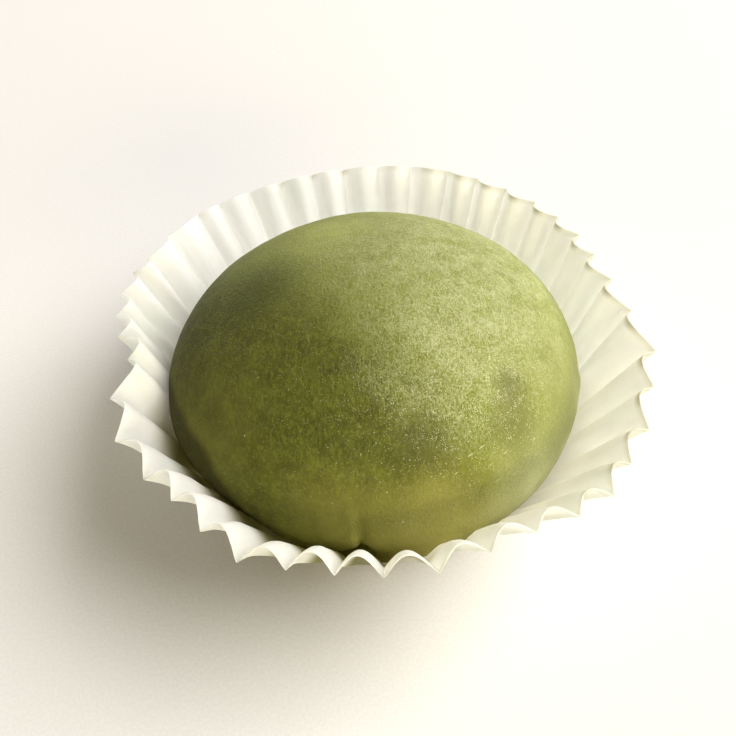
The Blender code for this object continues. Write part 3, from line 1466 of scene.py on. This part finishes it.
@dataclass(frozen=True)
class DoughFinish:
    """Green tea rice dough: satin, a little see-through, with starch worked into one side, and painted
    lighter on the side towards the light.
    """

    # The bare dough, painted deep green on the side turned from the light and leaf green on the lit,
    # starchy one: painted shade and light.
    deep: Colour = (0.066, 0.070, 0.012, 1.0)
    leaf: Colour = (0.180, 0.207, 0.025, 1.0)
    painted_lit_side: SoftSide = SoftSide(Vector((1.0, 0.9, 0.0)), -19.5 * MM, -3.5 * MM, 9.0 * MM)
    mottle: SoftPatches = SoftPatches(520.0, 0.36, 0.64, 4.0)
    mottle_share: float = 0.26
    olive: Colour = (0.098, 0.092, 0.017, 1.0)
    olive_clouds: SoftPatches = SoftPatches(130.0, 0.36, 0.68, 4.0)
    olive_share: float = 0.42
    # Painted bounce light: paler, straw-coloured dough low at the front, where light thrown back by the
    # paper would brighten it.
    straw: Colour = (0.345, 0.325, 0.082, 1.0)
    painted_bounce_dab: SoftDab = SoftDab(Vector((6.0, -30.5, 12.5)) * MM, 3.0 * MM, 15.0 * MM, 6.0 * MM)
    # Painted shade: a dark band along the lower left, where the flank turns under, away from the light.
    tucked: Colour = (0.034, 0.031, 0.007, 1.0)
    painted_underside_side: SoftSide = SoftSide(Vector((-0.863, -0.360, -0.349)), 15.4 * MM, 16.7 * MM, 1.5 * MM)
    painted_underside_share: float = 0.75
    # Fine patterns, drawn out the way that the dough was stretched.
    drawn_out: Vector = Vector((1.0, 0.6, 0.8))
    fresh: Colour = (0.205, 0.230, 0.030, 1.0)
    strands: SoftPatches = SoftPatches(1700.0, 0.48, 0.60, 3.0, 1.8)
    strands_share: float = 0.36
    gaps: SoftPatches = SoftPatches(2500.0, 0.50, 0.64, 2.0, 1.2)
    gaps_show: tuple[float, float] = (0.12, 0.42)
    long_threads: WindingThreads = WindingThreads(1400.0, 3.0, 0.050)
    short_threads: WindingThreads = WindingThreads(2500.0, 2.0, 0.055)
    short_share: float = 0.7
    # The starch: a thin veil, which is also a painted sheen on the lit top right, threads that thicken
    # where there is more of it and on the lit side, and a crust.
    starch: Colour = (0.440, 0.460, 0.235, 1.0)
    sheen_and_starch_dab: SoftDab = SoftDab(Vector((13.0, 1.0, 28.0)) * MM, 5.0 * MM, 26.0 * MM, 9.0 * MM)
    veil_shows: tuple[float, float] = (0.14, 0.44)
    threads_everywhere: float = 0.05
    threads_on_side: float = 0.16
    threads_in_haze: float = 0.24
    threads_in_crust: float = 0.34
    crust_dab: SoftDab = SoftDab(Vector((8.0, -14.5, 27.0)) * MM, 2.0 * MM, 13.0 * MM, 9.0 * MM)
    crust_shows: tuple[float, float] = (0.4, 1.0)
    crumbs: SoftPatches = SoftPatches(2700.0, 0.50, 0.58, 2.0, 2.6)
    crumbs_share: float = 0.75
    marks: tuple[Mark, ...] = (
        # A pale patch and a green one on the far left shoulder.
        Mark(Vector((-4.7, 8.5, 28.6)) * MM, 7.5 * MM, 0.60, (0.40, 0.41, 0.10, 1.0)),
        Mark(Vector((-13.0, -1.5, 28.8)) * MM, 8.0 * MM, 0.75, (0.058, 0.070, 0.003, 1.0)),
        # Painted light: the dough painted paler along the left, front and right edges, standing in for
        # light thrown back by the paper.
        Mark(Vector((-22.0, -15.5, 20.5)) * MM, 14.0 * MM, 0.80, (0.215, 0.212, 0.050, 1.0)),
        Mark(Vector((-6.0, -29.0, 17.0)) * MM, 12.0 * MM, 1.00, (0.260, 0.246, 0.054, 1.0)),
        Mark(Vector((18.0, -24.0, 12.5)) * MM, 13.0 * MM, 1.00, (0.570, 0.570, 0.320, 1.0)),
        Mark(Vector((23.0, -13.0, 18.0)) * MM, 14.0 * MM, 0.75, (0.245, 0.252, 0.105, 1.0)),
        # Painted light: straw-coloured dough to the right of the pinched fold, painted lighter low down
        # where the paper would shade it.
        Mark(Vector((1.6, -29.4, 13.2)) * MM, 7.0 * MM, 0.85, (0.400, 0.370, 0.105, 1.0)),
        # Painted light: the palest dough, where it nears the lit paper on the right, standing in for light
        # that the paper throws back and lets through.
        Mark(Vector((23.4, -10.5, 13.4)) * MM, 7.5 * MM, 1.00, (0.560, 0.570, 0.310, 1.0)),
        Mark(Vector((20.3, -16.8, 12.4)) * MM, 5.0 * MM, 0.80, (0.500, 0.505, 0.270, 1.0)),
        # Dark rubbed smudges, low on the right.
        Mark(Vector((13.6, -16.6, 25.4)) * MM, 3.4 * MM, 0.60, (0.085, 0.082, 0.034, 1.0)),
        Mark(Vector((3.2, -22.8, 25.1)) * MM, 4.4 * MM, 0.55, (0.085, 0.082, 0.034, 1.0)),
        Mark(Vector((13.6, -19.6, 23.4)) * MM, 5.2 * MM, 0.90, (0.130, 0.130, 0.045, 1.0)),
        # Painted shade: a dark line in the crease above the pinched fold.
        Mark(Vector((-3.8, -26.2, 14.0)) * MM, 1.1 * MM, 0.80, (0.050, 0.045, 0.010, 1.0)),
    )
    marks_show: tuple[float, float] = (0.65, 1.0)
    wrinkles: SoftPatches = SoftPatches(2400.0, 0.2, 0.8, 4.0)
    roughness: tuple[float, float] = (0.54, 0.72)
    relief: float = 0.09 * MM
    relief_strength: float = 0.60
    # Light sinks a little way into the dough, and its shine is weak and slightly golden.
    soaks: float = 0.25
    soak_depth: float = 1.6 * MM
    soak_colours: tuple[float, float, float] = (1.0, 0.9, 0.25)
    shine: float = 0.08
    shine_colour: Colour = (1.0, 0.96, 0.55, 1.0)

    def material(self, effects: Effects) -> bpy.types.Material:
        """Build the dough's material.

        Args:
            effects: the shared node groups.

        Returns:
            The material.
        """
        skin = start_surface("rice dough", effects)
        drawn = skin.node("ShaderNodeMapping", vector=skin.place, scale=self.drawn_out).outputs[0]
        # Painted light and shade: the dough is painted lighter on the side towards the light.
        lit = skin.mask(self.painted_lit_side)
        mottle = skin.mask(self.mottle)
        short_threads = skin.times(skin.mask(self.short_threads, drawn), self.short_share)
        grain = skin.sum(skin.mask(self.long_threads, drawn), short_threads, "MAXIMUM")
        colour = self._bare_colour(skin, drawn, lit, mottle)
        colour = self._dust(skin, colour, drawn, lit, mottle, grain)
        shows = skin.between(mottle, *self.marks_show)
        # Soft marks: real smudges, and painted light and shade on the edges and in the fold.
        for mark in self.marks:
            smudges_and_painted_light = skin.times(skin.mask(mark.dab()), shows)
            colour = skin.lay(colour, mark.colour, smudges_and_painted_light, mark.strength)
        # Painted shade along the lower left underside.
        colour = skin.lay(colour, self.tucked, skin.mask(self.painted_underside_side), self.painted_underside_share)
        rough = skin.between(grain, *self.roughness)
        height = skin.sum(skin.mask(self.wrinkles), grain)
        skin.finish(colour, rough, height, self.relief_strength, self.relief)
        skin.shader.inputs["Subsurface Weight"].default_value = self.soaks
        skin.shader.inputs["Subsurface Radius"].default_value = self.soak_colours
        skin.shader.inputs["Subsurface Scale"].default_value = self.soak_depth
        skin.shader.inputs["Specular IOR Level"].default_value = self.shine
        skin.shader.inputs["Specular Tint"].default_value = self.shine_colour
        return skin.material

    def _bare_colour(self, skin: Surface, drawn: Socket, lit: Socket, mottle: Socket) -> Socket:
        """Mix the colour of the dough without its starch, with painted shade and light on its sides and
        painted bounce light low at the front.

        Args:
            skin: the material's wiring.
            drawn: where each point lies, drawn out.
            lit: the mask of the side painted lit.
            mottle: the mottle's mask.

        Returns:
            The colour.
        """
        # Painted shade and light: deep green away from the light, leaf green towards it.
        colour = skin.mix(self.deep, self.leaf, lit)
        colour = skin.lay(colour, self.olive, skin.mask(self.olive_clouds), self.olive_share)
        colour = skin.lay(colour, self.leaf, mottle, self.mottle_share)
        colour = skin.lay(colour, self.fresh, skin.mask(self.strands, drawn), self.strands_share)
        # Painted bounce light: straw-coloured dough low at the front.
        return skin.mix(colour, self.straw, skin.mask(self.painted_bounce_dab))

    def _dust(
        self, skin: Surface, colour: Socket, drawn: Socket, lit: Socket, mottle: Socket, grain: Socket
    ) -> Socket:
        """Lay the starch's veil, threads and crust over the bare dough; the veil is also a painted sheen on
        the lit top right.

        Args:
            skin: the material's wiring.
            colour: the bare dough's colour.
            drawn: where each point lies, drawn out.
            lit: the mask of the side painted lit.
            mottle: the mottle's mask.
            grain: the mask of the threads of starch.

        Returns:
            The dough's colour with its starch and painted sheen.
        """
        # Painted sheen, with starch: the lit top right is whitened, as a broad highlight would show.
        sheen_and_starch = skin.times(skin.mask(self.sheen_and_starch_dab), lit)
        gaps = skin.times(skin.mask(self.gaps, drawn), skin.between(sheen_and_starch, *self.gaps_show))
        colour = skin.mix(colour, self.deep, gaps)
        veil = skin.times(sheen_and_starch, skin.between(mottle, *self.veil_shows))
        crust = skin.mask(self.crust_dab)
        thickness = skin.sum(skin.times(sheen_and_starch, self.threads_in_haze), skin.times(lit, self.threads_on_side))
        thickness = skin.sum(thickness, skin.times(crust, self.threads_in_crust))
        threads = skin.times(grain, skin.sum(thickness, self.threads_everywhere))
        dusting_and_sheen = skin.node("ShaderNodeClamp", value=skin.sum(veil, threads))
        colour = skin.mix(colour, self.starch, dusting_and_sheen.outputs[0])
        crust = skin.times(crust, skin.between(mottle, *self.crust_shows))
        crumbs = skin.times(crust, skin.mask(self.crumbs, drawn))
        return skin.lay(colour, self.starch, crumbs, self.crumbs_share)


@dataclass(frozen=True)
class StarchFinish:
    """Crumbs and threads of dried potato starch."""

    colour: Colour = (0.44, 0.45, 0.24, 1.0)
    dull: Colour = (0.33, 0.342, 0.144, 1.0)
    dull_patches: SoftPatches = SoftPatches(900.0, 0.35, 0.65)
    fresh: Colour = (0.55, 0.56, 0.34, 1.0)
    fresh_dab: SoftDab = SoftDab(Vector((10.0, -16.5, 25.5)) * MM, 3.0 * MM, 13.0 * MM, 4.0 * MM)
    roughness: tuple[float, float] = (0.55, 0.75)

    def material(self, effects: Effects) -> bpy.types.Material:
        """Build the starch's material.

        Args:
            effects: the shared node groups.

        Returns:
            The material.
        """
        skin = start_surface("potato starch", effects)
        dull = skin.mask(self.dull_patches)
        colour = skin.mix(skin.mix(self.colour, self.dull, dull), self.fresh, skin.mask(self.fresh_dab))
        skin.feed(skin.shader, "base_color", colour)
        skin.feed(skin.shader, "roughness", skin.between(dull, *self.roughness))
        return skin.material


@dataclass(frozen=True)
class PaperFinish:
    """Thin white greaseproof paper that lets light through."""

    # The light it throws back is white, and the light it lets through is a little warmer.
    white: Colour = (0.970, 0.972, 0.960, 1.0)
    glow: Colour = (0.955, 0.955, 0.930, 1.0)
    see_through: float = 0.65
    # Painted bounce light: on the right side the paper is painted creamier, in patches and fibres, and so
    # is the light it lets through, as light bounced off the dough would tint it.
    cream: Colour = (0.935, 0.924, 0.888, 1.0)
    warm_glow: Colour = (0.908, 0.903, 0.848, 1.0)
    painted_bounce_side: SoftSide = SoftSide(Vector((1.0, 0.15, 0.0)), 2.0 * MM, 26.0 * MM, 8.0 * MM)
    cream_patches: SoftPatches = SoftPatches(90.0, 0.42, 0.66)
    cream_in_patches: float = 0.5
    cream_in_fibres: float = 0.2
    greenish: Colour = (0.918, 0.945, 0.892, 1.0)
    green_patches: SoftPatches = SoftPatches(120.0, 0.5, 0.7)
    green_moved: tuple[float, float, float] = (0.3, 0.1, 0.7)
    green_shares: tuple[float, float] = (0.45, 0.6)
    # Fibres, blotches and streaks where the paper is thicker.
    fibres: SoftPatches = SoftPatches(1400.0, 0.42, 0.62, 4.0)
    thick: Colour = (0.70, 0.69, 0.60, 1.0)
    blotches: SoftPatches = SoftPatches(620.0, 0.42, 0.62, 4.0, 0.6)
    blotch_shares: tuple[float, float] = (0.05, 0.05)
    streaks: UprightStreaks = UprightStreaks(230.0, 130.0, 0.42, 0.66)
    streak_shares: tuple[float, float] = (0.08, 0.14)
    # Low down the pleats lie layer on layer, and less light comes through.
    layered: Colour = (0.36, 0.34, 0.27, 1.0)
    layered_up: tuple[float, float] = (0.65, 0.0)
    layered_share: float = 0.85
    # Painted shade on the rim's cut edge: darker in the folds on the right side and at some crease tips.
    edge: Colour = (0.52, 0.50, 0.36, 1.0)
    rim_up: tuple[float, float] = (0.965, 0.995)
    rim_folds: tuple[float, float] = (0.80, 1.0)
    rim_shows: tuple[float, float] = (0.30, 0.75)
    rim_corners: tuple[float, float] = (0.75, 0.25)
    corner_share: float = 0.45
    # Painted shadow: dark olive low on the paper's inner wall at the front left, near the dough, where the
    # cake's shadow falls.
    stained: Colour = (0.36, 0.34, 0.13, 1.0)
    stained_side: SoftSide = SoftSide(Vector((-0.60, -0.80, 0.0)), 19.5 * MM, 24.5 * MM, 4.0 * MM)
    cake_shadow_near: tuple[float, float] = (0.35, 0.80)
    cake_shadow_up: tuple[float, float] = (0.82, 0.62)
    cake_shadow_share: float = 0.9
    roughness: tuple[float, float] = (0.62, 0.74)
    relief: float = 0.06 * MM
    relief_strength: float = 0.35
    shine: float = 0.3

    def material(self, effects: Effects) -> bpy.types.Material:
        """Build the paper's material.

        Args:
            effects: the shared node groups.

        Returns:
            The material.
        """
        skin = start_surface("greaseproof paper", effects)
        # Painted bounce light: the right side's mask, which makes the paper creamier there.
        bounce_side = skin.mask(self.painted_bounce_side)
        wide = skin.mask(self.cream_patches)
        fibre = skin.mask(self.fibres)
        creamy = skin.sum(
            skin.times(wide, self.cream_in_patches), skin.times(fibre, self.cream_in_fibres)
        )
        moved = skin.node("ShaderNodeMapping", vector=skin.place, location=self.green_moved).outputs[0]
        layers = (
            (skin.mask(self.green_patches, moved), self.greenish, self.green_shares),
            (skin.mask(self.streaks), self.thick, self.streak_shares),
            (skin.mask(self.blotches), self.thick, self.blotch_shares),
        )
        # Painted bounce light: creamier colour and glow on the right side.
        colour = skin.mix(self.white, self.cream, skin.times(creamy, bounce_side))
        through = skin.mix(self.glow, self.warm_glow, bounce_side)
        for mask, tint, (share, share_through) in layers:
            colour = skin.lay(colour, tint, mask, share)
            through = skin.lay(through, tint, mask, share_through)
        up = skin.noted(Note.UP_THE_WALL)
        through = skin.lay(through, self.layered, skin.ramp(up, *self.layered_up), self.layered_share)
        # Painted shade on the rim, and a painted shadow of the cake low on the front left wall.
        painted_rim_shade = self._painted_rim_shade(skin, up, bounce_side, wide)
        cake_shadow = self._painted_cake_shadow(skin, up)
        colour = skin.mix(skin.mix(colour, self.edge, painted_rim_shade), self.stained, cake_shadow)
        through = skin.mix(skin.mix(through, self.edge, painted_rim_shade), self.stained, cake_shadow)
        rough = skin.between(fibre, *self.roughness)
        skin.finish(colour, rough, fibre, self.relief_strength, self.relief)
        skin.shader.inputs["Specular IOR Level"].default_value = self.shine
        glow = skin.node("ShaderNodeBsdfTranslucent", color=through)
        both = skin.node("ShaderNodeMixShader")
        for slot, value in enumerate((self.see_through, skin.shader.outputs[0], glow.outputs[0])):
            skin.put(both.inputs[slot], value)
        skin.put(skin.tree.nodes["Material Output"].inputs["Surface"], both.outputs[0])
        return skin.material

    def _painted_rim_shade(self, skin: Surface, up: Socket, bounce_side: Socket, wide: Socket) -> Socket:
        """Find where shade is painted on the rim's cut edge, in its folds on the right and at some crease
        tips.

        Args:
            skin: the material's wiring.
            up: how far up the wall each point is.
            bounce_side: the mask of the right side, with its painted bounce light.
            wide: the mask of the wide patches that choose the crease tips where shade is painted.

        Returns:
            The mask of the painted rim shade.
        """
        into = skin.noted(Note.INTO_THE_FOLD)
        rim = skin.ramp(up, *self.rim_up)
        folds = skin.between(skin.ramp(into, *self.rim_folds), *self.rim_shows)
        folds = skin.times(skin.times(rim, folds), bounce_side)
        corners = skin.times(skin.times(rim, skin.ramp(into, *self.rim_corners)), wide)
        return skin.sum(folds, skin.times(corners, self.corner_share), "MAXIMUM")

    def _painted_cake_shadow(self, skin: Surface, up: Socket) -> Socket:
        """Find where the cake's shadow is painted on the paper: near the dough, low on the wall, at the
        front left.

        Args:
            skin: the material's wiring.
            up: how far up the wall each point is.

        Returns:
            The painted shadow's mask.
        """
        near = skin.ramp(skin.noted(Note.NEAR_THE_DOUGH), *self.cake_shadow_near)
        cake_shadow = skin.times(near, skin.mask(self.stained_side))
        cake_shadow = skin.times(cake_shadow, skin.ramp(up, *self.cake_shadow_up))
        return skin.times(cake_shadow, self.cake_shadow_share)


@dataclass(frozen=True)
class CardFinish:
    """A sheet of smooth off-white card."""

    white: Colour = (0.80, 0.79, 0.765, 1.0)
    shade: Colour = (0.77, 0.755, 0.73, 1.0)
    mottle: SoftPatches = SoftPatches(2600.0, 0.40, 0.60, 2.0)
    roughness: float = 0.85
    shine: float = 0.2

    def material(self, effects: Effects) -> bpy.types.Material:
        """Build the card's material.

        Args:
            effects: the shared node groups.

        Returns:
            The material.
        """
        skin = start_surface("off-white card", effects)
        skin.feed(skin.shader, "base_color", skin.mix(self.white, self.shade, skin.mask(self.mottle)))
        skin.shader.inputs["Roughness"].default_value = self.roughness
        skin.shader.inputs["Specular IOR Level"].default_value = self.shine
        return skin.material


# --------------------------------------------------------------------------------------------------
# Studio
# --------------------------------------------------------------------------------------------------


@dataclass(frozen=True)
class Lamp:
    """One soft rectangular light, aimed at the cake."""

    name: str
    degrees_round: float
    degrees_up: float
    width: float
    tall: float
    power: float
    colour: tuple[float, float, float]
    distance: float = 1.80

    def hang(self) -> None:
        """Put the lamp in the scene."""
        light = bpy.data.lights.new(self.name, "AREA")
        light.shape = "RECTANGLE"
        light.size = self.width
        light.size_y = self.tall
        light.energy = self.power
        light.color = self.colour
        piece = bpy.data.objects.new(self.name, light)
        bpy.context.scene.collection.objects.link(piece)
        bearing, height = math.radians(self.degrees_round), math.radians(self.degrees_up)
        level = math.cos(height)
        towards = Vector((level * math.cos(bearing), level * math.sin(bearing), math.sin(height)))
        piece.location = towards * self.distance
        piece.rotation_euler = towards.to_track_quat("Z", "Y").to_euler()


@dataclass
class Studio:
    """The pale floor, the window's light and the camera."""

    eye: Vector = Vector((-1.2 * MM, -81.2 * MM, 97.0 * MM))
    look_down: float = math.radians(45.88)
    tip: float = math.radians(-5.98)
    field_of_view: float = math.radians(44.0)
    floor_size: float = 3.0
    lamps: tuple[Lamp, ...] = (
        Lamp("window", -7.0, 49.0, 1.60, 1.20, 44.5, (1.0, 0.98, 0.955)),
        Lamp("sill", 26.0, 12.0, 3.30, 0.60, 40.0, (1.0, 0.98, 0.95)),
        Lamp("back wall", 104.5, 12.0, 1.60, 0.60, 15.7, (1.0, 0.98, 0.93)),
        Lamp("front wall", -68.0, 12.0, 1.20, 0.60, 30.0, (1.0, 0.90, 0.62)),
    )
    room_colour: Colour = (1.0, 0.60, 0.25, 1.0)
    room_strength: float = 0.03

    def build(self, effects: Effects) -> None:
        """Set up the floor, light and camera.

        Args:
            effects: the shared node groups.
        """
        self._lay_floor(effects)
        for lamp in self.lamps:
            lamp.hang()
        world = bpy.data.worlds.new("room")
        world.use_nodes = True
        background = world.node_tree.nodes["Background"]
        background.inputs["Color"].default_value = self.room_colour
        background.inputs["Strength"].default_value = self.room_strength
        bpy.context.scene.world = world
        self._aim_camera()

    def _lay_floor(self, effects: Effects) -> None:
        """Lay the card under the case.

        Args:
            effects: the shared node groups.
        """
        bpy.ops.mesh.primitive_plane_add(size=self.floor_size)
        floor = bpy.context.object
        floor.name = "floor"
        floor.data.materials.append(CardFinish().material(effects))

    def _aim_camera(self) -> None:
        """Stand the camera at its eye point, looking down at the front, a little tipped."""
        camera = bpy.data.cameras.new("camera")
        camera.sensor_fit = "HORIZONTAL"
        camera.angle = self.field_of_view
        camera.clip_start = 1.0 * MM
        piece = bpy.data.objects.new("camera", camera)
        bpy.context.scene.collection.objects.link(piece)
        ahead = Vector((0.0, math.cos(self.look_down), -math.sin(self.look_down)))
        level = Vector((1.0, 0.0, 0.0))
        upright = level.cross(ahead)
        cosine, sine = math.cos(self.tip), math.sin(self.tip)
        right = level * cosine + upright * sine
        up = upright * cosine - level * sine
        turn = Matrix((right, up, -ahead)).transposed().to_4x4()
        piece.matrix_world = Matrix.Translation(self.eye) @ turn
        bpy.context.scene.camera = piece


def main() -> None:
    """Build the pieces in order and report each one."""
    logging.basicConfig(level=logging.INFO, format="%(name)s: %(message)s")
    bpy.context.scene.view_settings.view_transform = "Standard"
    cake = RiceCake().build()
    case = PaperCase().build(cake)
    dust = StarchDust().build(cake)
    effects = build_effects()
    for piece, slot, finish in (
        (cake, "dough", DoughFinish()),
        (case, "paper", PaperFinish()),
        (dust, "dough", StarchFinish()),
    ):
        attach(piece, BODY)
        piece.data.materials.append(finish.material(effects))
        log.info("%s: %d triangles", piece.name, count_triangles(piece))
    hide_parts("mochi")
    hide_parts("paper_case")
    Studio().build(effects)


if __name__ == "__main__":
    main()
